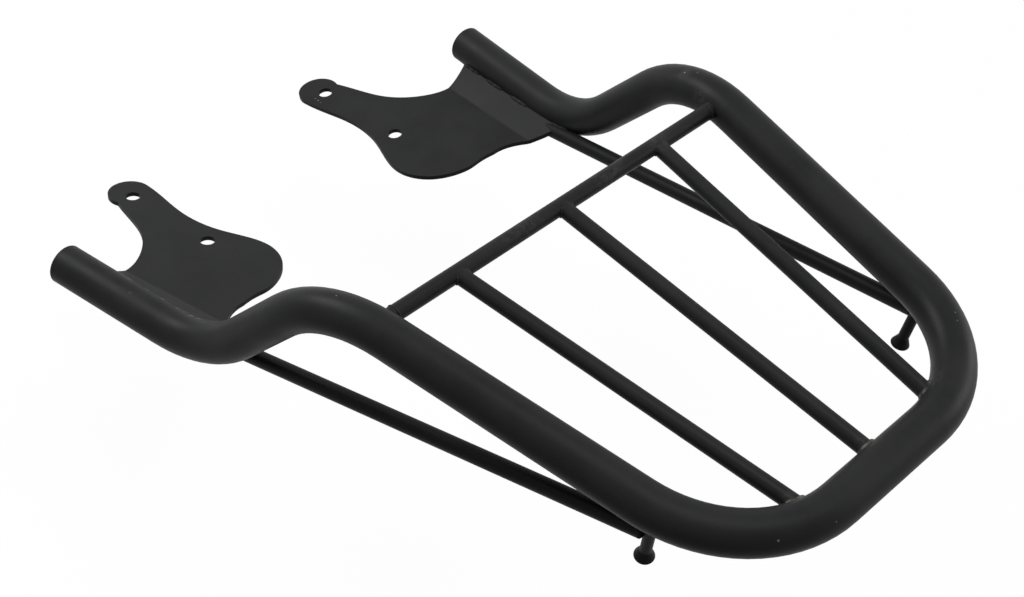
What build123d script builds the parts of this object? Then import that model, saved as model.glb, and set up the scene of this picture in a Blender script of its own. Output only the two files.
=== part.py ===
from build123d import *
import os
from math import atan2, cos, radians, sin, tan

# A welded luggage rack for the tail of a motorbike: bent tube, round bar and folded sheet steel.
# Millimetres. +Z is up, +Y points to the front of the motorbike and +X to its right-hand side.
# The rack is drawn about the axis of its rear bar, with the deck level, and moved at the end so
# that the origin lies under the middle of its outline, at the height of its lowest point.
# The right-hand pieces are made first, and the left-hand ones are their mirror images.

# Stock
tube_diameter = 25.4
tube_wall = 2.0
bar_diameter = 10.0
plate_thickness = 3.0

# Corners of the main tube's centre line, from the rear bar to the open front ends
rear_width = 214.0
crest_width = 302.0
valley_width = 321.0
handle_width = 349.0
rail_run = 267.0
drop_run = 76.5
handle_run = 120.5
valley_drop = 112.5
handle_drop = 17.6
corner_bend_radius = 80.0
crest_bend_radius = 84.0
valley_bend_radius = 88.0

# Closures of the two front ends
cap_rim = 0.8
cap_dome = 2.4
cap_spigot_length = 8.0
cap_clearance = 0.15

# Deck bars
crossbar_distance = 234.0
deck_bar_front_spacing = 83.5
deck_bar_rear_spacing = 56.0

# Pegs for elastic straps
peg_distance = 57.5
peg_lean = 5.5
peg_neck_diameter = 6.6
peg_neck_length = 23.0
peg_flare_length = 6.0
peg_head_diameter = 12.0
peg_dome_height = 2.0
peg_neck_blend = 2.0
peg_rim_round = 1.2

# Stays under the rails
stay_front_ahead = 10.3
stay_front_angle = 49.4
stay_front_tuck = 8.0
stay_rear_outset = 2.5
stay_rear_sink = 0.6

# Mounting plates: the rear bolt hole from the front end of the tube, and the shape of the sheet
rear_hole_inset = 90.5
rear_hole_setback = 30.0
rear_hole_lowering = 14.4
panel_extra_pitch = 5.0
panel_roll = 6.2
bolt_hole_diameter = 10.0
front_hole_place = (-5.9, 75.3)
finger_end_place = (-7.9, 80.8)
finger_end_radius = 14.3
fold_distance = 59.0
fold_angle = 22.0
fold_inside_radius = 4.0

# Outline of a mounting plate on the flat panel: local X across the fold, local Y forward along it
finger_arc_start = -15.0
finger_arc_size = 202.0
inner_edge_places = [(-13.3, 38.0), (-14.0, 5.0), (-22.3, -34.0), (-9.5, -57.0), (14.0, -66.0), (35.0, -65.8)]
inner_edge_finish = (1.0, -0.15)
rear_edge_places = [(57.0, -73.0), (69.0, -81.5)]
rear_edge_along = -86.0
front_edge_places = [(79.0, 18.4), (56.0, 13.6), (41.4, 19.3), (21.1, 39.5), (12.3, 60.0)]
front_edge_margin = 6.0
panel_inner_reach = 40.0
panel_half_length = 110.0

# Weld beads
bead_radius = 2.4
peg_bead_radius = 1.8
crotch_bead_radius = 2.0
crotch_bead_height = 6.0
bead_sink = 0.5
stay_weld_leg = 1.8
stay_front_weld_length = 15.0
stay_rear_weld_length = 26.0
stitch_radius = 1.8
stitch_length = 15.0
stitch_places = {"rear": 0.12, "middle": 0.48, "front": 0.86}

tube_radius = tube_diameter / 2
bar_radius = bar_diameter / 2
peg_neck_radius = peg_neck_diameter / 2
peg_head_radius = peg_head_diameter / 2


def rail_side(distance):
    """Sideways place of the right-hand rail's axis at a distance forward of the rear bar."""
    return (rear_width + (crest_width - rear_width) * distance / rail_run) / 2


def axial_plane(origin, direction):
    """Plane through an axis, with its local Y along the axis, for a profile to revolve about it."""
    section = Plane(origin=origin, z_dir=direction)
    return Plane(origin=origin, x_dir=section.x_dir, z_dir=-section.y_dir)


# Main tube
valley_corner = Vector(valley_width / 2, rail_run + drop_run, -valley_drop)
right_corners = [
    valley_corner + Vector((handle_width - valley_width) / 2, handle_run, -handle_drop),
    valley_corner,
    Vector(crest_width / 2, rail_run, 0),
    Vector(rear_width / 2, 0, 0),
]
left_corners = [Vector(-corner.X, corner.Y, corner.Z) for corner in reversed(right_corners)]
bend_radii = [valley_bend_radius, crest_bend_radius, corner_bend_radius]
with BuildLine() as tube_path:
    FilletPolyline(*right_corners, *left_corners, radius=bend_radii + bend_radii[::-1])

front_end = tube_path.line @ 0
front_direction = -(tube_path.line % 0)
tube_section = Plane(origin=front_end, z_dir=-front_direction)
with BuildPart() as main_tube:
    with BuildSketch(tube_section):
        Circle(tube_radius)
        Circle(tube_radius - tube_wall, mode=Mode.SUBTRACT)
    sweep(path=tube_path.line)
main_tube.part.label = "main_tube"

# The tube's outer form, filled, to which the other pieces are coped
with BuildPart() as tube_form:
    with BuildSketch(tube_section):
        Circle(tube_radius)
    sweep(path=tube_path.line)

# Domed closure of a front end, with a spigot in the bore
cap_spigot_radius = tube_radius - tube_wall - cap_clearance
with BuildPart() as end_cap_right:
    with BuildSketch(axial_plane(front_end, front_direction)):
        with BuildLine():
            Polyline(
                (0, cap_rim + cap_dome),
                (0, -cap_spigot_length),
                (cap_spigot_radius, -cap_spigot_length),
                (cap_spigot_radius, 0),
                (tube_radius, 0),
                (tube_radius, cap_rim),
            )
            TangentArc((0, cap_rim + cap_dome), (tube_radius, cap_rim), tangent=(1, 0))
        make_face()
    revolve(axis=Axis(front_end, front_direction))
end_cap_right.part.label = "end_cap_right"

# Crossbar from rail to rail, behind the crest bends
crossbar_middle = Vector(0, crossbar_distance, 0)
rear_middle = Vector(0, 0, 0)
crossbar_end = Vector(rail_side(crossbar_distance), crossbar_distance, 0)
with BuildPart() as crossbar:
    with BuildSketch(Plane(origin=crossbar_end, z_dir=(-1, 0, 0))):
        Circle(bar_radius)
    extrude(amount=2 * crossbar_end.X)
    add(tube_form.part, mode=Mode.SUBTRACT)
crossbar.part.label = "crossbar"


def deck_bar(front, rear):
    """Round bar of the deck between two places on the axes of the crossbar and the rear bar."""
    with BuildPart() as bar:
        with BuildSketch(Plane(origin=front, z_dir=rear - front)):
            Circle(bar_radius)
        extrude(amount=(rear - front).length)
        add(crossbar.part, mode=Mode.SUBTRACT)
        add(tube_form.part, mode=Mode.SUBTRACT)
    return bar


deck_bar_front = Vector(deck_bar_front_spacing, crossbar_distance, 0)
deck_bar_rear = Vector(deck_bar_rear_spacing, 0, 0)
deck_bar_right = deck_bar(deck_bar_front, deck_bar_rear)
deck_bar_right.part.label = "deck_bar_right"
deck_bar_centre = deck_bar(crossbar_middle, rear_middle)
deck_bar_centre.part.label = "deck_bar_centre"

# Peg under the rail: a neck that flares to a shallow domed head, leaning inwards
peg_direction = Vector(-sin(radians(peg_lean)), 0, -cos(radians(peg_lean)))
peg_root = Vector(rail_side(peg_distance), peg_distance, -tube_radius)
peg_rim = peg_neck_length + peg_flare_length
with BuildPart() as peg_right:
    with BuildSketch(axial_plane(peg_root, peg_direction)) as peg_profile:
        with BuildLine():
            Polyline(
                (0, peg_rim + peg_dome_height),
                (0, -tube_radius / 2),
                (peg_neck_radius, -tube_radius / 2),
                (peg_neck_radius, peg_neck_length),
                (peg_head_radius, peg_rim),
            )
            TangentArc((0, peg_rim + peg_dome_height), (peg_head_radius, peg_rim), tangent=(1, 0))
        make_face()
        neck_corner = peg_profile.vertices().sort_by_distance((peg_neck_radius, peg_neck_length))[0]
        fillet(neck_corner, radius=peg_neck_blend)
        rim_corner = peg_profile.vertices().sort_by_distance((peg_head_radius, peg_rim))[0]
        fillet(rim_corner, radius=peg_rim_round)
    revolve(axis=Axis(peg_root, peg_direction))
    add(tube_form.part, mode=Mode.SUBTRACT)
peg_right.part.label = "peg_right"

# Mounting plate: a flat panel with two bolt holes, its outer side folded up to the tube as a strip.
# The fold runs along the tube in plan. In the panel's frame, local Y points forward along the fold,
# local X outwards to the tube, and the rear bolt hole is the origin.
splay = atan2((handle_width - valley_width) / 2, handle_run)
cross_slope = tan(radians(panel_roll))
fore_slope = -tan(atan2(handle_drop, handle_run) + radians(panel_extra_pitch))
panel_normal = Vector(-cross_slope, -fore_slope, 1)
fold_direction = Vector(sin(splay), cos(splay), cross_slope * sin(splay) + fore_slope * cos(splay))
panel_across = fold_direction.cross(panel_normal)
rear_hole = Plane(origin=front_end, x_dir=panel_across, z_dir=panel_normal).from_local_coords(
    Vector(-rear_hole_inset, -rear_hole_setback, -rear_hole_lowering)
)
panel_plane = Plane(origin=rear_hole, x_dir=panel_across, z_dir=panel_normal)
fold_plane = Plane(origin=rear_hole, x_dir=panel_plane.x_dir, z_dir=-panel_plane.y_dir)

# Section of the sheet across the fold; the strip is as wide as it takes to reach the tube's axis
half_plate = plate_thickness / 2
fold_shift = half_plate * tan(radians(fold_angle / 2))
strip_middle_end = Vector(rear_hole_inset, (rear_hole_inset - fold_distance) * tan(radians(fold_angle)))
strip_half_normal = Vector(-sin(radians(fold_angle)), cos(radians(fold_angle))) * half_plate
outline_end = rear_hole_inset + plate_thickness
front_edge_along = rear_hole_setback - front_edge_margin

with BuildPart() as mounting_plate_right:
    with BuildSketch(fold_plane) as fold_section:
        with BuildLine():
            Polyline(
                (-panel_inner_reach, -half_plate),
                (fold_distance + fold_shift, -half_plate),
                strip_middle_end - strip_half_normal,
                strip_middle_end + strip_half_normal,
                (fold_distance - fold_shift, half_plate),
                (-panel_inner_reach, half_plate),
                close=True,
            )
        make_face()
        inside_corner = fold_section.vertices().sort_by_distance((fold_distance, half_plate))[0]
        fillet(inside_corner, radius=fold_inside_radius)
        outside_corner = fold_section.vertices().sort_by_distance((fold_distance, -half_plate))[0]
        fillet(outside_corner, radius=fold_inside_radius + plate_thickness)
    extrude(amount=panel_half_length, both=True)
    with BuildSketch(panel_plane):
        with BuildLine():
            finger_end = CenterArc(finger_end_place, finger_end_radius, finger_arc_start, finger_arc_size)
            inner_edge = Spline(finger_end @ 1, *inner_edge_places, tangents=[finger_end % 1, inner_edge_finish])
            rear_edge = Spline(inner_edge @ 1, *rear_edge_places, (outline_end, rear_edge_along))
            Line(rear_edge @ 1, (outline_end, front_edge_along))
            Spline((outline_end, front_edge_along), *front_edge_places, finger_end @ 0)
        make_face()
    extrude(amount=rear_hole_inset, both=True, mode=Mode.INTERSECT)
    with BuildSketch(panel_plane):
        with Locations((0, 0), front_hole_place):
            Circle(bolt_hole_diameter / 2)
    extrude(amount=plate_thickness, both=True, mode=Mode.SUBTRACT)
    add(tube_form.part, mode=Mode.SUBTRACT)
mounting_plate_right.part.label = "mounting_plate_right"

# Stay from the valley bend, where its front end is tucked under the plate, back to the underside
# of the rail at the peg
stay_reach = tube_radius + bar_radius
stay_angle = radians(stay_front_angle)
valley_middle = tube_path.line.closest_points(valley_corner)[0]
stay_front = valley_middle + Vector(-cos(stay_angle) * stay_reach, stay_front_ahead, -sin(stay_angle) * stay_reach)
stay_rear = Vector(
    rail_side(peg_distance) + stay_rear_outset,
    peg_distance + peg_neck_radius,
    stay_rear_sink - stay_reach,
)
stay_direction = (stay_rear - stay_front).normalized()
stay_length = (stay_rear - stay_front).length + stay_front_tuck
with BuildPart() as stay_right:
    with BuildSketch(Plane(origin=stay_rear, z_dir=-stay_direction)):
        Circle(bar_radius)
    extrude(amount=stay_length)
    add(tube_form.part, mode=Mode.SUBTRACT)
    add(peg_right.part, mode=Mode.SUBTRACT)
    add(mounting_plate_right.part, mode=Mode.SUBTRACT)
stay_right.part.label = "stay_right"


def landing(start, end):
    """Where a line into the main tube meets its outer surface, and the way out of the surface there."""
    inside = Edge.make_line(start, end).intersect(tube_form.part)
    place = inside.vertices().sort_by_distance(start)[0].center()
    return place, (place - tube_path.line.closest_points(place)[0]).normalized()


def weld_ring(place, outward, bar, radius, bead):
    """Ring of weld metal of round section about the end of a bar, cut to the bar and the tube."""
    with BuildPart() as ring:
        with BuildSketch(axial_plane(place, outward)):
            with Locations((radius - bead_sink, -bead_sink)):
                Circle(bead)
        revolve(axis=Axis(place, outward))
        add(bar.part, mode=Mode.SUBTRACT)
        add(tube_form.part, mode=Mode.SUBTRACT)
    return ring


def crotch_weld(front, rear, bar):
    """The two beads in the corners between the crossbar and the front end of a deck bar."""
    place = front + (rear - front) * (bar_radius / crossbar_distance)
    backward = Vector(0, -1, 0)
    with BuildPart() as beads:
        with BuildSketch(axial_plane(place, backward)):
            with Locations((bar_radius - bead_sink, -bead_sink)):
                Circle(crotch_bead_radius)
        revolve(axis=Axis(place, backward))
        with Locations(place):
            Box(4 * bar_diameter, 4 * bar_diameter, crotch_bead_height, mode=Mode.INTERSECT)
        add(bar.part, mode=Mode.SUBTRACT)
        add(crossbar.part, mode=Mode.SUBTRACT)
    return beads


# Welds of the crossbar, the deck bars and the pegs
crossbar_weld_right = weld_ring(*landing(crossbar_middle, crossbar_end), crossbar, bar_radius, bead_radius)
crossbar_weld_right.part.label = "crossbar_weld_right"

deck_bar_front_weld_right = crotch_weld(deck_bar_front, deck_bar_rear, deck_bar_right)
deck_bar_front_weld_right.part.label = "deck_bar_front_weld_right"
deck_bar_front_weld_centre = crotch_weld(crossbar_middle, rear_middle, deck_bar_centre)
deck_bar_front_weld_centre.part.label = "deck_bar_front_weld_centre"

right_landing = landing(deck_bar_front, deck_bar_rear)
deck_bar_rear_weld_right = weld_ring(*right_landing, deck_bar_right, bar_radius, bead_radius)
deck_bar_rear_weld_right.part.label = "deck_bar_rear_weld_right"
centre_landing = landing(crossbar_middle, rear_middle)
deck_bar_rear_weld_centre = weld_ring(*centre_landing, deck_bar_centre, bar_radius, bead_radius)
deck_bar_rear_weld_centre.part.label = "deck_bar_rear_weld_centre"

peg_landing = landing(peg_root + peg_direction * peg_neck_length, peg_root - peg_direction * tube_radius / 2)
peg_weld_right = weld_ring(*peg_landing, peg_right, peg_neck_radius, peg_bead_radius)
peg_weld_right.part.label = "peg_weld_right"

# Welds of the stay: the metal within one leg of both the stay and the tube, near each end of the stay
with BuildPart() as tube_weld_zone:
    with BuildSketch(tube_section):
        Circle(tube_radius + stay_weld_leg)
    sweep(path=tube_path.line)


def stay_weld(start, direction, length):
    """Weld metal in the gap between the stay and the tube, over a length of the stay."""
    with BuildPart() as weld:
        with BuildSketch(Plane(origin=start, z_dir=direction)):
            Circle(bar_radius + stay_weld_leg)
        extrude(amount=length)
        add(tube_weld_zone.part, mode=Mode.INTERSECT)
        add(stay_right.part, mode=Mode.SUBTRACT)
        add(tube_form.part, mode=Mode.SUBTRACT)
        add(peg_right.part, mode=Mode.SUBTRACT)
        add(mounting_plate_right.part, mode=Mode.SUBTRACT)
    return weld


stay_front_weld_right = stay_weld(stay_front, stay_direction, stay_front_weld_length)
stay_front_weld_right.part.label = "stay_front_weld_right"
stay_rear_weld_right = stay_weld(stay_rear, -stay_direction, stay_rear_weld_length)
stay_rear_weld_right.part.label = "stay_rear_weld_right"

# Stitches of weld along the seam between the tube and the upper side of the strip
seam = mounting_plate_right.edges().filter_by(GeomType.ELLIPSE).sort_by(Axis.Z)[-1]
half_stitch = stitch_length / seam.length / 2
plate_welds_right = []
for where, share in stitch_places.items():
    with BuildPart() as stitch:
        with BuildLine() as bead_line:
            add(seam.trim(share - half_stitch, share + half_stitch))
        with BuildSketch(bead_line.line ^ 0):
            Circle(stitch_radius)
        sweep(path=bead_line.line)
        with Locations(bead_line.line @ 0, bead_line.line @ 1):
            Sphere(stitch_radius)
        add(mounting_plate_right.part, mode=Mode.SUBTRACT)
        add(tube_form.part, mode=Mode.SUBTRACT)
    stitch.part.label = f"plate_weld_{where}_right"
    plate_welds_right.append(stitch)

middle_pieces = [main_tube, crossbar, deck_bar_centre, deck_bar_front_weld_centre, deck_bar_rear_weld_centre]
right_pieces = [
    end_cap_right,
    deck_bar_right,
    peg_right,
    stay_right,
    mounting_plate_right,
    crossbar_weld_right,
    deck_bar_front_weld_right,
    deck_bar_rear_weld_right,
    peg_weld_right,
    stay_front_weld_right,
    stay_rear_weld_right,
    *plate_welds_right,
]
left_pieces = []
for piece in right_pieces:
    with BuildPart() as twin:
        mirror(piece.part, about=Plane.YZ)
    twin.part.label = piece.part.label.replace("right", "left")
    left_pieces.append(twin)

# The origin goes under the middle of the rack's outline, at its lowest point
pieces = middle_pieces + right_pieces + left_pieces
outline = Compound([piece.part for piece in pieces]).bounding_box()
placing = Location((0, -outline.center().Y, -outline.min.Z))
os.makedirs("parts", exist_ok=True)
for piece in pieces:
    piece.part.move(placing)
    export_step(piece.part, f"parts/{piece.part.label}.step")
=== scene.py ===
import math

import bpy
import numpy as np
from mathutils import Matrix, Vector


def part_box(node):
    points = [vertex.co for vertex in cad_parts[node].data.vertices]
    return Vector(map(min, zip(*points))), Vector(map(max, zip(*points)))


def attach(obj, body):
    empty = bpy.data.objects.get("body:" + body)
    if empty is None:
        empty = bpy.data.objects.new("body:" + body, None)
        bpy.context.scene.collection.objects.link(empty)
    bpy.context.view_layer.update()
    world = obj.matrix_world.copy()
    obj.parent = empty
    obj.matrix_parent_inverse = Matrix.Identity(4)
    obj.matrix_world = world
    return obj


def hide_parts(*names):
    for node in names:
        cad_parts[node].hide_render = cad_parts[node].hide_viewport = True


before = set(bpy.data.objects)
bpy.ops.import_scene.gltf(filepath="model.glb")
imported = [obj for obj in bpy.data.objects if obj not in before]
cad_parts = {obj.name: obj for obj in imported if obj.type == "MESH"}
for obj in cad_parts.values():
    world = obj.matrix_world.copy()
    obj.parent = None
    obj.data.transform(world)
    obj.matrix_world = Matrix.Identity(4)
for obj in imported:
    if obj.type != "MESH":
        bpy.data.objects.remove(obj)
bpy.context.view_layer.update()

# A luggage rack of bent steel tube, round bar and folded sheet, black powder coated. Lengths are in
# metres and angles in degrees. Places are those of the right-hand half, measured from the middle of
# the rear bar with the deck level: x to the right, y forwards, z up.
tube_radius = 0.0127
bar_radius = 0.005
front_end = np.array((0.1745, 0.464, -0.1301))
valley_corner = np.array((0.1605, 0.3435, -0.1125))
crest_corner = np.array((0.151, 0.267, 0.0))
rear_corner = np.array((0.107, 0.0, 0.0))
valley_bend, crest_bend, corner_bend = 0.088, 0.084, 0.08
crossbar_distance = 0.234
deck_bar_front_spacing = 0.0835
deck_bar_rear_spacing = 0.056
peg_distance = 0.0575
peg_lean = 5.5
peg_neck_radius = 0.0033
stay_front_ahead = 0.0103
stay_front_angle = 49.4
stay_rear_outset = 0.0025
stay_rear_sink = 0.0006
plate_thickness = 0.003
rear_hole_inset = 0.0905
rear_hole_setback = 0.03
rear_hole_lowering = 0.0144
panel_extra_pitch = 5.0
panel_roll = 6.2
fold_distance = 0.059
fold_angle = 22.0

# The rear bar's middle, straight behind the crossbar's
crossbar_box = np.array(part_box("crossbar"))
deck_origin = crossbar_box.mean(axis=0) - (0.0, crossbar_distance, 0.0)
mirrored = np.array((-1.0, 1.0, 1.0))

# How finely the axes are divided, and how far and how finely a seam is looked for from its bar
axis_spacing = 0.0005
search_margin = 0.05
ray_reach = 0.03
ray_halvings = 22


def unit(vectors):
    """Vectors at their own direction and a length of one."""
    vectors = np.asarray(vectors, float)
    return vectors / np.linalg.norm(vectors, axis=-1, keepdims=True)


def straight(start, end, spacing=axis_spacing):
    """Evenly spaced points from one place to another."""
    count = max(2, int(np.linalg.norm(end - start) / spacing))
    share = np.linspace(0.0, 1.0, count)[:, None]
    return start + share * (end - start)


def bent_axis(corners, radii):
    """Close points on a bent tube's axis: straight runs, and at each corner an arc tangent to both
    runs."""
    runs = []
    start = corners[0]
    for before, corner, after, radius in zip(corners, corners[1:], corners[2:], radii):
        back, ahead = unit(before - corner), unit(after - corner)
        turn = math.pi - math.acos(float(back @ ahead))
        cut = radius * math.tan(turn / 2)
        middle = corner + unit(back + ahead) * radius / math.cos(turn / 2)
        first, last = corner + back * cut - middle, corner + ahead * cut - middle
        angle = np.linspace(0.0, turn, int(radius * turn / axis_spacing))[:, None]
        arc = (np.sin(turn - angle) * first + np.sin(angle) * last) / math.sin(turn)
        runs.append(straight(start, middle + first))
        runs.append(middle + arc)
        start = middle + last
    runs.append(straight(start, corners[-1]))
    return np.concatenate(runs)


half_axis = [front_end, valley_corner, crest_corner, rear_corner]
half_bends = [valley_bend, crest_bend, corner_bend]
whole_axis = half_axis + [corner * mirrored for corner in reversed(half_axis)]
tube_axis = bent_axis(whole_axis, half_bends + half_bends[::-1])

rear_middle = np.zeros(3)
crossbar_middle = np.array((0.0, crossbar_distance, 0.0))
crossbar_half = np.array((0.15, 0.0, 0.0))
crossbar_axis = straight(crossbar_middle - crossbar_half, crossbar_middle + crossbar_half)
deck_bar_front = np.array((deck_bar_front_spacing, crossbar_distance, 0.0))
deck_bar_rear = np.array((deck_bar_rear_spacing, 0.0, 0.0))

# The plate's own directions: along its fold, across its panel and out of its upper side
splay = math.atan2(front_end[0] - valley_corner[0], front_end[1] - valley_corner[1])
handle_slope = math.atan2(valley_corner[2] - front_end[2], front_end[1] - valley_corner[1])
cross_slope = math.tan(math.radians(panel_roll))
fore_slope = -math.tan(handle_slope + math.radians(panel_extra_pitch))
fold_slope = cross_slope * math.sin(splay) + fore_slope * math.cos(splay)
panel_normal = unit((-cross_slope, -fore_slope, 1.0))
fold_way = unit((math.sin(splay), math.cos(splay), fold_slope))
panel_across = np.cross(fold_way, panel_normal)
rear_hole = (
    front_end
    - rear_hole_inset * panel_across
    - rear_hole_setback * fold_way
    - rear_hole_lowering * panel_normal
)


def nearest(points, axis):
    """Each point's distance from an axis of close points, and its direction away from it."""
    reach = np.ptp(points, axis=0).max() + search_margin
    close = axis[np.linalg.norm(axis - points.mean(axis=0), axis=1) < reach]
    away = points[:, None] - close[None]
    gaps = np.linalg.norm(away, axis=2)
    pick = gaps.argmin(axis=1)
    rows = np.arange(len(points))
    return gaps[rows, pick], away[rows, pick] / gaps[rows, pick][:, None]


def run_to(starts, direction, reach, axis, radius):
    """Rays stop where they enter the surface at a radius about an axis. The way there is halved
    again and again, and the half that crosses the surface is kept."""
    before, beyond = np.zeros(len(starts)), np.full(len(starts), reach)
    for _ in range(ray_halvings):
        middle = (before + beyond) / 2
        gap, _ = nearest(starts + middle[:, None] * direction, axis)
        before = np.where(gap > radius, middle, before)
        beyond = np.where(gap > radius, beyond, middle)
    return starts + before[:, None] * direction


def bar_seam(start, direction, radius, angles, axis, axis_radius):
    """Seam between a round bar and what it ends on: rays along the bar's surface, one at each angle
    about it, run to the other surface. The crown looks outwards between the two surfaces."""
    direction = unit(direction)
    across = unit(np.cross(direction, (0.0, 0.0, 1.0)))
    upright = np.cross(across, direction)
    outwards = np.cos(angles)[:, None] * across + np.sin(angles)[:, None] * upright
    seam = run_to(start + radius * outwards, direction, ray_reach, axis, axis_radius)
    return seam, unit(outwards + nearest(seam, axis)[1])


# How a weld bead is laid, like coins that overlap. Each slow wave has a height as a share of the
# half width, a number of turns in the bead's length, and a start
bead_sides = 20
bead_body = 0.94
bead_flatness = 0.8
bead_sink = 0.0002
slow_waves = ((0.05, 3.0, 0.7), (0.04, 5.0, 2.1))
scale_length = 0.0017
scale_trail = 0.4
scale_height = 0.12


def bead(seam, crown, width, closed, scales):
    """Weld bead: a flattened round section carried along a seam. Its half width is a plain body,
    two slow sine waves and scales, which are a sine wave without its sign that comes later at the
    bead's sides than at its crown. An open bead is thinned by the square root of one less the fourth
    power of the way from its middle, which is one at its ends."""
    if closed:
        ahead = np.roll(seam, -1, axis=0) - np.roll(seam, 1, axis=0)
        steps = np.linalg.norm(np.roll(seam, -1, axis=0) - seam, axis=1)
        travel = np.cumsum(steps) - steps
        length = steps.sum()
    else:
        ahead = np.gradient(seam, axis=0)
        steps = np.linalg.norm(np.diff(seam, axis=0), axis=1)
        travel = np.concatenate([[0.0], np.cumsum(steps)])
        length = travel[-1]
    ahead = unit(ahead)
    crown = unit(crown - (crown * ahead).sum(axis=1)[:, None] * ahead)
    side = np.cross(ahead, crown)
    share = (travel / length)[:, None]
    around = np.linspace(0.0, 2.0 * np.pi, bead_sides, endpoint=False)[None]
    phase = share * max(1, round(length / scale_length)) - scale_trail * (1.0 - np.cos(around))
    waves = sum(
        wave_height * np.sin(2.0 * np.pi * count * share + start)
        for wave_height, count, start in slow_waves
    )
    size = width * (bead_body + waves + scales * np.abs(np.sin(np.pi * phase)))
    if not closed:
        size = size * np.sqrt(1.0 - (2.0 * share - 1.0) ** 4)
    rise = bead_flatness * np.cos(around)[..., None] * crown[:, None]
    offset = rise + np.sin(around)[..., None] * side[:, None]
    return (seam - bead_sink * crown)[:, None] + size[..., None] * offset, closed


def skin(rows, closed):
    """Points and faces over rows of points that each close round. The last row meets the first, or
    else the first and last rows draw in to one point each. The faces look away from the rows'
    middles."""
    count, across = rows.shape[:2]
    if closed:
        points = rows.reshape(-1, 3)
        bands = np.arange(len(points)).reshape(count, across)
        bands = np.concatenate([bands, bands[:1]])
        middles = rows.mean(axis=1)
        caps = []
    else:
        points = np.concatenate([rows[0, :1], rows[1:-1].reshape(-1, 3), rows[-1, :1]])
        bands = 1 + np.arange((count - 2) * across).reshape(count - 2, across)
        middles = rows[1:-2].mean(axis=1)
        first, last = bands[0], bands[-1]
        caps = [
            np.stack([np.zeros_like(first), np.roll(first, -1), first], axis=1),
            np.stack([np.full_like(last, len(points) - 1), last, np.roll(last, -1)], axis=1),
        ]
    turned = np.roll(bands, -1, axis=1)
    quads = np.stack([bands[:-1], turned[:-1], turned[1:], bands[1:]], axis=-1)
    corners = points[quads]
    edges = corners[:, :, 1] - corners[:, :, 0], corners[:, :, 3] - corners[:, :, 0]
    outwards = (np.cross(*edges) * (corners[:, :, 0] - middles[:, None])).sum()
    faces = [quads.reshape(-1, 4)] + caps
    return points, faces if outwards > 0 else [face[:, ::-1] for face in faces]


def new_material(name):
    """An empty material, its node tree and the socket that its surface goes into."""
    material = bpy.data.materials.new(name)
    material.use_nodes = True
    tree = material.node_tree
    tree.nodes.clear()
    return material, tree, tree.nodes.new("ShaderNodeOutputMaterial").inputs["Surface"]


def give(tree, socket, value):
    """Set an input to a number or colour, or link another node's output to it."""
    if isinstance(value, bpy.types.NodeSocket):
        tree.links.new(value, socket)
    else:
        socket.default_value = value


def math_node(tree, operation, first, second):
    """A Math node's output, from two inputs that are each a socket or a number."""
    node = tree.nodes.new("ShaderNodeMath")
    node.operation = operation
    give(tree, node.inputs[0], first)
    give(tree, node.inputs[1], second)
    return node.outputs[0]


def vector_node(tree, operation, first, second, output="Vector"):
    """A Vector Math node's output, from two inputs that are each a socket or a vector."""
    node = tree.nodes.new("ShaderNodeVectorMath")
    node.operation = operation
    give(tree, node.inputs[0], first)
    give(tree, node.inputs[1], second)
    return node.outputs[output]


def noise(tree, coordinates, cells, detail, roughness, output="Fac"):
    """Noise with a number of cells to the metre."""
    node = tree.nodes.new("ShaderNodeTexNoise")
    node.inputs["Scale"].default_value = cells
    node.inputs["Detail"].default_value = detail
    node.inputs["Roughness"].default_value = roughness
    tree.links.new(coordinates, node.inputs["Vector"])
    return node.outputs[output]


def spread(tree, value, low, high, to_low=0.0, to_high=1.0):
    """A value mapped from one range to another, held at its ends."""
    node = tree.nodes.new("ShaderNodeMapRange")
    node.clamp = True
    ends = {"From Min": low, "From Max": high, "To Min": to_low, "To Max": to_high}
    for name, number in ends.items():
        node.inputs[name].default_value = number
    give(tree, node.inputs["Value"], value)
    return node.outputs["Result"]


def blend_colours(tree, amount, first, second):
    """A colour between two, by an amount from 0 to 1."""
    node = tree.nodes.new("ShaderNodeMix")
    node.data_type = "RGBA"
    give(tree, node.inputs[0], amount)
    give(tree, node.inputs[6], first)
    give(tree, node.inputs[7], second)
    return node.outputs[2]


def new_group(name, outputs):
    """A shader node group on Object coordinates, with named masks and heights as its outputs."""
    group = bpy.data.node_groups.new(name, "ShaderNodeTree")
    sockets = group.interface
    sockets.new_socket("Coordinates", in_out="INPUT", socket_type="NodeSocketVector")
    for output in outputs:
        sockets.new_socket(output, in_out="OUTPUT", socket_type="NodeSocketFloat")
    place = group.nodes.new("NodeGroupInput").outputs["Coordinates"]
    return group, place, group.nodes.new("NodeGroupOutput").inputs


# Each noise has its cells to the metre, its detail and its roughness, and each range is the stretch
# of a noise over which its mask rises from nothing to full
peel_noise = (1100.0, 2.0, 0.55)
ripple_noise, ripple_share = (260.0, 2.0, 0.5), 0.7
patch_noise, patch_range = (24.0, 4.0, 0.62), (0.36, 0.64)
dust_noise, dust_range = (620.0, 5.0, 0.75), (0.6, 0.8)
ragged_noise, ragged_depth = (1500.0, 2.0, 0.6), 0.0012
broken_noise, broken_range = (950.0, 3.0, 0.6), (0.43, 0.55)
streak_noise, streak_range = (260.0, 5.0, 0.7), (0.42, 0.66)
scorch_noise, scorch_range = (250.0, 4.0, 0.6), (0.44, 0.62)


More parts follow.
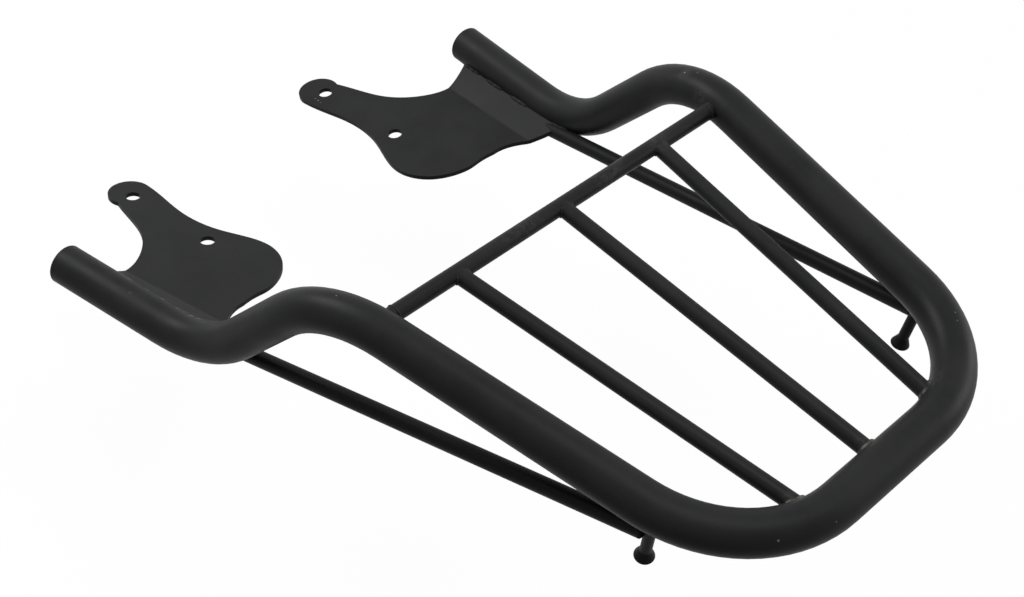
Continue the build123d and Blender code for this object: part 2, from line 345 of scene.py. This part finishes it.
def coat_grain():
    """Powder coat: a fine orange-peel height, slow patches of shade, and a thin film of dust."""
    group, place, leaving = new_group("powder coat grain", ("Height", "Patches", "Dust"))
    ripple = math_node(group, "MULTIPLY", noise(group, place, *ripple_noise), ripple_share)
    height = math_node(group, "ADD", noise(group, place, *peel_noise), ripple)
    patches = spread(group, noise(group, place, *patch_noise), *patch_range)
    dust = spread(group, noise(group, place, *dust_noise), *dust_range)
    group.links.new(height, leaving["Height"])
    group.links.new(patches, leaving["Patches"])
    group.links.new(dust, leaving["Dust"])
    return group


tube_rows = tube_axis[::-1]
tube_steps = np.linalg.norm(np.diff(tube_rows, axis=0), axis=1)
tube_travel = np.concatenate([[0.0], np.cumsum(tube_steps)]) - tube_steps.sum() / 2


def tube_middle(travel):
    """Place on the tube's axis, so far along it from the rear bar's middle, to the left where the
    travel is less than nothing."""
    return np.array([np.interp(travel, tube_travel, column) for column in tube_rows.T])


def on_tube(travel, turn, height=0.0):
    """Place on the tube's surface, or at a height over it: at a travel along its axis, and turned
    about the axis from its top, outwards or, where the turn is less than nothing, inwards."""
    way = unit(tube_middle(travel + axis_spacing) - tube_middle(travel - axis_spacing))
    outwards = unit(np.cross((0.0, 0.0, -1.0), way))
    upright = np.cross(outwards, way)
    angle = math.radians(turn)
    away = math.cos(angle) * upright + math.sin(angle) * outwards
    return tube_middle(travel) + (tube_radius + height) * away


def on_deck_bar(share):
    """Place on top of the right-hand deck bar, at a share of its length from its rear end."""
    return deck_bar_rear + share * (deck_bar_front - deck_bar_rear) + (0.0, 0.0, bar_radius)


def on_panel(ahead, inwards):
    """Place on the right-hand plate's upper side, ahead of its rear hole and inwards from it."""
    upper_side = rear_hole + plate_thickness / 2 * panel_normal
    return upper_side + ahead * fold_way - inwards * panel_across


# Small chips through the coat, each a place, a radius and how bare it is: on the rear corners and
# the rail, on the crest bends, on a deck bar and in a row on the right-hand plate's finger
coat_chips = [
    (on_tube(-0.0846, 53.0), 0.0007, 0.9),
    (on_tube(-0.0543, 50.0), 0.0005, 0.6),
    (on_tube(0.1110, 5.0), 0.0006, 0.25),
    (on_tube(0.1169, 9.0), 0.0006, 0.35),
    (on_tube(-0.1844, 116.0), 0.0004, 0.4),
    (on_tube(-0.3424, -1.0), 0.0005, 0.7),
    (on_tube(0.3409, -8.0), 0.0005, 0.6),
    (on_tube(0.3480, -25.0), 0.0006, 0.8),
    (on_deck_bar(0.332), 0.0004, 0.5),
    (on_panel(0.0747, 0.0150), 0.0006, 0.9),
    (on_panel(0.0714, 0.0151), 0.0006, 0.7),
    (on_panel(0.0681, 0.0152), 0.0005, 0.5),
]

# Broken scuffs on the tube above the left-hand plate's seam, each with the same three
coat_scuffs = [
    (on_tube(-0.5547, -42.0), 0.0024, 0.24),
    (on_tube(-0.5425, 8.0), 0.0012, 0.13),
    (on_tube(-0.5403, -49.0), 0.0022, 0.18),
    (on_tube(-0.5268, -45.0), 0.0024, 0.22),
    (on_tube(-0.5125, -42.0), 0.0024, 0.28),
    (on_tube(-0.5071, -43.0), 0.0020, 0.34),
    (on_tube(-0.4977, -32.0), 0.0020, 0.50),
    (on_tube(-0.4889, -26.0), 0.0016, 0.26),
]

# Where heat and grinding show through as a grey-brown tint, each a place, a radius and a strength:
# beside the deck bars' rear ends, on the right-hand crest bend and along the crossbar
crossbar_tint_height = 0.0043
heat_tints = [
    (on_tube(-0.0667, -66.0, 0.0005), 0.0075, 1.0),
    (on_tube(0.0012, -66.0, 0.0023), 0.0085, 1.0),
    (on_tube(0.0681, -65.0), 0.0085, 1.0),
    (on_tube(0.3274, -77.0), 0.0100, 1.0),
    (on_tube(0.3480, -25.0), 0.0060, 1.0),
    ((deck_bar_front_spacing, crossbar_distance, crossbar_tint_height), 0.0110, 1.0),
    ((0.0400, crossbar_distance, crossbar_tint_height), 0.0160, 1.0),
    ((-0.0350, crossbar_distance, crossbar_tint_height), 0.0200, 1.0),
]
hard_core, soft_core = 0.6, 0.3


def strongest(group, coordinates, marks, core):
    """Each mark is a ball of full strength in its core, a share of its radius, and fades out from
    there to its surface. Where balls overlap, the stronger one holds."""
    strength = 0.0
    for where, radius, full in marks:
        middle = (deck_origin + where).tolist()
        gap = vector_node(group, "DISTANCE", coordinates, middle, "Value")
        ball = spread(group, gap, radius * core, radius, full, 0.0)
        strength = math_node(group, "MAXIMUM", ball, strength)
    return strength


def coat_wear():
    """Chips and scuffs have edges that noise makes ragged, and noise also breaks the scuffs up.
    Tints have soft edges and are streaked."""
    group, place, leaving = new_group("coat wear", ("Chips", "Tints"))
    wobble = noise(group, place, *ragged_noise, "Color")
    shift = vector_node(group, "SUBTRACT", wobble, (0.5, 0.5, 0.5))
    shift = vector_node(group, "MULTIPLY", shift, (ragged_depth, ragged_depth, ragged_depth))
    ragged = vector_node(group, "ADD", place, shift)
    chips = strongest(group, ragged, coat_chips, hard_core)
    scuffs = strongest(group, ragged, coat_scuffs, hard_core)
    tints = strongest(group, place, heat_tints, soft_core)
    broken = spread(group, noise(group, place, *broken_noise), *broken_range)
    streaks = spread(group, noise(group, place, *streak_noise), *streak_range)
    marks = math_node(group, "MAXIMUM", chips, math_node(group, "MULTIPLY", scuffs, broken))
    group.links.new(marks, leaving["Chips"])
    group.links.new(math_node(group, "MULTIPLY", tints, streaks), leaving["Tints"])
    return group


grain_group = coat_grain()
wear_group = coat_wear()


def place_group(tree, group, coordinates):
    """The outputs of a group put into a material, reading the piece's own coordinates."""
    node = tree.nodes.new("ShaderNodeGroup")
    node.node_tree = group
    tree.links.new(coordinates, node.inputs["Coordinates"])
    return node.outputs


chip_colour = (0.30, 0.29, 0.27, 1.0)
tint_colour = (0.050, 0.047, 0.044, 1.0)
dust_colour = (0.034, 0.034, 0.034, 1.0)
dust_strength = 0.22
coat_gloss = 0.065
smoother_patch, rougher_patch = -0.05, 0.07
grain_distance = 0.00015
chip_depth = 1.5


def coat_material(name, dark, light, roughness, grain_depth, tint=0.7, scorch=0.0, scorched=None):
    """A black finish: two close shades by its patches, then dust, tints, bare scorched weld and
    chips, over a bump of its grain less its chips."""
    material, tree, surface = new_material(name)
    shader = tree.nodes.new("ShaderNodeBsdfPrincipled")
    tree.links.new(shader.outputs["BSDF"], surface)
    coordinates = tree.nodes.new("ShaderNodeTexCoord").outputs["Object"]
    grain = place_group(tree, grain_group, coordinates)
    wear = place_group(tree, wear_group, coordinates)

    colour = blend_colours(tree, grain["Patches"], (*dark, 1.0), (*light, 1.0))
    dust = math_node(tree, "MULTIPLY", grain["Dust"], dust_strength)
    colour = blend_colours(tree, dust, colour, dust_colour)
    tints = math_node(tree, "MULTIPLY", wear["Tints"], tint)
    colour = blend_colours(tree, tints, colour, tint_colour)
    if scorch:
        bare = spread(tree, noise(tree, coordinates, *scorch_noise), *scorch_range, 0.0, scorch)
        colour = blend_colours(tree, bare, colour, (*scorched, 1.0))
    colour = blend_colours(tree, wear["Chips"], colour, chip_colour)
    tree.links.new(colour, shader.inputs["Base Color"])

    smooth, rough = roughness + smoother_patch, roughness + rougher_patch
    sheen = spread(tree, grain["Patches"], 0.0, 1.0, smooth, rough)
    tree.links.new(sheen, shader.inputs["Roughness"])
    shader.inputs["Specular IOR Level"].default_value = coat_gloss

    hollows = math_node(tree, "MULTIPLY", wear["Chips"], chip_depth)
    dent = tree.nodes.new("ShaderNodeBump")
    dent.inputs["Strength"].default_value = grain_depth
    dent.inputs["Distance"].default_value = grain_distance
    give(tree, dent.inputs["Height"], math_node(tree, "SUBTRACT", grain["Height"], hollows))
    tree.links.new(dent.outputs["Normal"], shader.inputs["Normal"])
    return material


powder_coat = coat_material(
    "black powder coat",
    dark=(0.0135, 0.0138, 0.0146),
    light=(0.0185, 0.0188, 0.0196),
    roughness=0.44,
    grain_depth=0.4,
)
# A darker copy of the same powder coat for the stays and pegs: painted shade, for the shade they lie
# in below the tube
stays_and_pegs_painted_shade_coat = coat_material(
    "black powder coat darkened as painted shade, stays and pegs",
    dark=(0.0070, 0.0072, 0.0077),
    light=(0.0100, 0.0102, 0.0107),
    roughness=0.5,
    grain_depth=0.4,
)
coated_weld = coat_material(
    "coated weld",
    dark=(0.0135, 0.0136, 0.0140),
    light=(0.0195, 0.0193, 0.0190),
    roughness=0.5,
    grain_depth=0.6,
    tint=0.3,
    scorch=0.3,
    scorched=(0.08, 0.073, 0.066),
)
bare_weld = coat_material(
    "scorched weld",
    dark=(0.0160, 0.0158, 0.0156),
    light=(0.0330, 0.0315, 0.0295),
    roughness=0.5,
    grain_depth=0.7,
    tint=0.5,
    scorch=0.85,
    scorched=(0.15, 0.138, 0.124),
)
cap_plastic = coat_material(
    "black cap plastic",
    dark=(0.0120, 0.0120, 0.0125),
    light=(0.0160, 0.0160, 0.0166),
    roughness=0.62,
    grain_depth=0.25,
)

# The finish of each piece, by its name without its side. Stays and pegs take the darker coat with
# painted shade
finishes = {"end_cap": cap_plastic, "stay": stays_and_pegs_painted_shade_coat, "peg": stays_and_pegs_painted_shade_coat}
for name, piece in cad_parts.items():
    finish = finishes.get(name.rpartition("_")[0], powder_coat)
    piece.data.materials.clear()
    piece.data.materials.append(finish)


def add_object(name, data):
    """A new object in the scene, at the origin."""
    thing = bpy.data.objects.new(name, data)
    bpy.context.scene.collection.objects.link(thing)
    return thing


def weld_piece(node, beads, finish=coated_weld):
    """One or more beads as a piece that stands for a weld's node."""
    points, faces, so_far = [], [], 0
    for rows, closed in beads:
        some_points, some_faces = skin(rows + deck_origin, closed)
        points.append(some_points)
        faces.extend(row for block in some_faces for row in (block + so_far).tolist())
        so_far += len(some_points)
    mesh = bpy.data.meshes.new(node + "_bead")
    mesh.from_pydata(np.concatenate(points).tolist(), [], faces)
    mesh.polygons.foreach_set("use_smooth", np.ones(len(mesh.polygons), dtype=bool))
    mesh.materials.append(finish)
    piece = add_object(node + "_bead", mesh)
    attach(piece, "root")
    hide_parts(node)


def weld_pair(name, seams, width, closed=False, scales=scale_height, finish=coated_weld):
    """The same weld on the right-hand side and, mirrored, on the left-hand side."""
    for side, flip in (("right", np.ones(3)), ("left", mirrored)):
        beads = [bead(seam * flip, crown * flip, width, closed, scales) for seam, crown in seams]
        weld_piece(f"{name}_{side}", beads, finish)


# Half the width of each weld's bead, and the height of the finer beads' scales as a share of it
crossbar_ring_width, crossbar_ring_scales = 0.0007, 0.04
deck_bar_ring_width, deck_bar_ring_scales = 0.0017, 0.06
corner_width, corner_scales = 0.0011, 0.05
peg_ring_width = 0.0015
groove_width = 0.0013
stitch_width = 0.0016

# Rings where the crossbar, the deck bars and the pegs end on the tube. The crossbar's rays start at
# a place to its side, the deck bars' before the rear bar's axis and the pegs' below the rail
crossbar_ray_side = 0.10
deck_bar_run_up = 0.03
peg_run_up = 0.015
ring_places = 220
all_round = np.linspace(0.0, 2.0 * np.pi, ring_places, endpoint=False)

crossbar_start = np.array((crossbar_ray_side, crossbar_distance, 0.0))
crossbar_way = np.array((1.0, 0.0, 0.0))
crossbar_ring = bar_seam(
    crossbar_start, crossbar_way, bar_radius, all_round, tube_axis, tube_radius
)
weld_pair("crossbar_weld", [crossbar_ring], crossbar_ring_width, True, crossbar_ring_scales)


def deck_bar_ring(rear, way):
    """The seam round a deck bar's rear end."""
    start = rear - deck_bar_run_up * way
    return bar_seam(start, way, bar_radius, all_round, tube_axis, tube_radius)


deck_bar_way = unit(deck_bar_rear - deck_bar_front)
side_rings = [deck_bar_ring(deck_bar_rear, deck_bar_way)]
weld_pair(
    "deck_bar_rear_weld", side_rings, deck_bar_ring_width, True, deck_bar_ring_scales, bare_weld
)
centre_way = np.array((0.0, -1.0, 0.0))
centre_ring = deck_bar_ring(rear_middle, centre_way)
centre_bead = bead(*centre_ring, deck_bar_ring_width, True, deck_bar_ring_scales)
weld_piece("deck_bar_rear_weld_centre", [centre_bead], bare_weld)


def rail_side(distance):
    """Sideways place of the right-hand rail's axis at a distance forward of the rear bar."""
    return rear_corner[0] + (crest_corner[0] - rear_corner[0]) * distance / crest_corner[1]


lean = math.radians(peg_lean)
peg_way = np.array((math.sin(lean), 0.0, math.cos(lean)))
peg_root = np.array((rail_side(peg_distance), peg_distance, -tube_radius))
peg_start = peg_root - peg_run_up * peg_way
peg_ring = bar_seam(peg_start, peg_way, peg_neck_radius, all_round, tube_axis, tube_radius)
weld_pair("peg_weld", [peg_ring], peg_ring_width, True)

# Short beads in the two corners between the crossbar and each deck bar's front end
corner_half_angle = 56.0
corner_places = 90
corner_run_up = 0.015
one_side = np.radians(np.linspace(-corner_half_angle, corner_half_angle, corner_places))


def corner_seams(front, way):
    """The seams at both sides of a deck bar's front end, where rays on its surface meet the
    crossbar."""
    start = front + corner_run_up * way
    return [
        bar_seam(start, -way, bar_radius, one_side + turn, crossbar_axis, bar_radius)
        for turn in (0.0, np.pi)
    ]


side_corners = corner_seams(deck_bar_front, deck_bar_way)
weld_pair("deck_bar_front_weld", side_corners, corner_width, scales=corner_scales)
centre_corners = [
    bead(seam, crown, corner_width, False, corner_scales)
    for seam, crown in corner_seams(crossbar_middle, centre_way)
]
weld_piece("deck_bar_front_weld_centre", centre_corners)

# Beads in the grooves between a stay and the tube: at each place along the stay, its surface is
# turned about its axis, away from the tube, until it comes out of the tube's surface
groove_spacing = 0.00018
groove_least_turn, groove_most_turn = 0.12, 1.4
groove_halvings = 18
stay_reach = tube_radius + bar_radius
stay_angle = math.radians(stay_front_angle)
valley_middle = tube_axis[np.linalg.norm(tube_axis - valley_corner, axis=1).argmin()]
stay_front = valley_middle + (
    -math.cos(stay_angle) * stay_reach,
    stay_front_ahead,
    -math.sin(stay_angle) * stay_reach,
)
stay_rear = np.array((
    rail_side(peg_distance) + stay_rear_outset,
    peg_distance + peg_neck_radius,
    stay_rear_sink - stay_reach,
))
stay_way = unit(stay_rear - stay_front)


def groove_seam(places, side):
    """The groove on one side of the stay. The turn about the stay's axis is halved again and again,
    and the half that crosses the tube's surface is kept."""
    away = -nearest(places, tube_axis)[1]
    towards = unit(away - (away @ stay_way)[:, None] * stay_way)
    sideways = side * np.cross(stay_way, towards)
    inside = np.full(len(places), groove_least_turn)
    outside = np.full(len(places), groove_most_turn)
    for _ in range(groove_halvings):
        turn = ((inside + outside) / 2)[:, None]
        surface = places + bar_radius * (np.cos(turn) * towards + np.sin(turn) * sideways)
        gap, _ = nearest(surface, tube_axis)
        inside = np.where(gap < tube_radius, turn[:, 0], inside)
        outside = np.where(gap < tube_radius, outside, turn[:, 0])
    turn = inside[:, None]
    outwards = np.cos(turn) * towards + np.sin(turn) * sideways
    seam = places + bar_radius * outwards
    return seam, unit(outwards + nearest(seam, tube_axis)[1])


def stretch(node, points):
    """Which points lie between the front and back of a node of the frame."""
    low, high = np.array(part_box(node))[:, 1] - deck_origin[1]
    return (points[:, 1] > low) & (points[:, 1] < high)


for end in ("front", "rear"):
    node = f"stay_{end}_weld"
    places = straight(stay_front, stay_rear, groove_spacing)
    places = places[stretch(node + "_right", places)]
    weld_pair(node, [groove_seam(places, side) for side in (-1.0, 1.0)], groove_width)

# Stitches along the seam between the tube and the upper side of each plate's folded strip. Rays in
# the strip's upper side start just past the fold and run to the tube
past_fold = 0.004
strip_behind, strip_ahead, strip_places = -0.10, 0.04, 900
strip_reach = 0.04
fold = math.radians(fold_angle)
strip_way = math.cos(fold) * panel_across + math.sin(fold) * panel_normal
strip_normal = math.cos(fold) * panel_normal - math.sin(fold) * panel_across
strip_start = (
    rear_hole
    + (fold_distance + past_fold) * panel_across
    + (past_fold * math.tan(fold)) * panel_normal
)
strip_start = strip_start + plate_thickness / 2 * strip_normal
strip_rows = np.linspace(strip_behind, strip_ahead, strip_places)[:, None] * fold_way
strip_seam = run_to(strip_start + strip_rows, strip_way, strip_reach, tube_axis, tube_radius)
strip_crown = unit(strip_normal + nearest(strip_seam, tube_axis)[1])
for where in ("rear", "middle", "front"):
    part = stretch(f"plate_weld_{where}_right", strip_seam)
    weld_pair(f"plate_weld_{where}", [(strip_seam[part], strip_crown[part])], stitch_width)


# The stage looks white to the camera, and sends little light back at the rack
floor_height = -0.12
floor_half_size = 30.0
paper_seen = (0.92, 0.92, 0.92, 1.0)
paper_bounce = (0.05, 0.05, 0.05, 1.0)
paper_shine = 0.96
world_seen, world_light = 1.0, 0.06


def seen_rays(tree):
    """One for the rays that show the stage: from the camera, from gloss or through glass."""
    rays = tree.nodes.new("ShaderNodeLightPath").outputs
    seen = math_node(tree, "MAXIMUM", rays["Is Camera Ray"], rays["Is Glossy Ray"])
    return math_node(tree, "MAXIMUM", seen, rays["Is Transmission Ray"])


def white_floor():
    """A wide floor of paper that glows white where it is seen, and keeps a faint shadow."""
    mesh = bpy.data.meshes.new("floor")
    ways = ((-1, -1), (1, -1), (1, 1), (-1, 1))
    corners = [(floor_half_size * x, floor_half_size * y, floor_height) for x, y in ways]
    mesh.from_pydata(corners, [], [(0, 1, 2, 3)])
    material, tree, surface = new_material("studio floor")
    seen = seen_rays(tree)
    paper = tree.nodes.new("ShaderNodeBsdfDiffuse")
    tree.links.new(blend_colours(tree, seen, paper_bounce, paper_seen), paper.inputs["Color"])
    shine = tree.nodes.new("ShaderNodeEmission")
    mix = tree.nodes.new("ShaderNodeMixShader")
    tree.links.new(math_node(tree, "MULTIPLY", seen, paper_shine), mix.inputs[0])
    tree.links.new(paper.outputs[0], mix.inputs[1])
    tree.links.new(shine.outputs[0], mix.inputs[2])
    tree.links.new(mix.outputs[0], surface)
    mesh.materials.append(material)
    floor = add_object("floor", mesh)


def white_world():
    """A world that is white where it is seen, and otherwise gives only a faint even light."""
    world = bpy.data.worlds.new("studio")
    bpy.context.scene.world = world
    world.use_nodes = True
    tree = world.node_tree
    tree.nodes.clear()
    sky = tree.nodes.new("ShaderNodeBackground")
    sky.inputs["Color"].default_value = (1.0, 1.0, 1.0, 1.0)
    strength = spread(tree, seen_rays(tree), 0.0, 1.0, world_light, world_seen)
    tree.links.new(strength, sky.inputs["Strength"])
    leaving = tree.nodes.new("ShaderNodeOutputWorld")
    tree.links.new(sky.outputs[0], leaving.inputs["Surface"])


def area_light(name, place, aim, size, power):
    """A square soft light that faces a point."""
    lamp = bpy.data.lights.new(name, "AREA")
    lamp.shape = "SQUARE"
    lamp.size = size
    lamp.energy = power
    holder = add_object(name, lamp)
    away = np.array(place) - np.array(aim)
    turn = math.atan2(away[0], -away[1])
    tilt = math.acos(away[2] / np.linalg.norm(away))
    holder.location = place
    holder.rotation_euler = (tilt, 0.0, turn)


# Each lamp has a name, a place, the point that it faces, a width and a power in watts
lamps = [
    ("overhead light", (0.1, -0.2, 2.2), (0.0, 0.0, 0.1), 1.2, 28.0),
    ("front light", (-0.45, 1.7, 1.2), (0.0, 0.1, 0.1), 0.9, 30.0),
    ("side light", (1.7, -0.9, 0.7), (0.0, -0.1, 0.15), 0.9, 15.0),
]

white_floor()
white_world()
for lamp in lamps:
    area_light(*lamp)

# Camera at the photograph's viewing angle, with its sensor and lens in millimetres
camera_place = (-0.62632, -0.44998, 0.91133)
camera_turn = (41.918, -8.26, -45.6)
camera_sensor = 36.0
camera_lens = 65.33
camera = add_object("camera", bpy.data.cameras.new("camera"))
camera.location = camera_place
camera.rotation_euler = [math.radians(turn) for turn in camera_turn]
camera.data.sensor_width = camera_sensor
camera.data.lens = camera_lens
bpy.context.scene.camera = camera
bpy.context.scene.view_settings.view_transform = "Standard"
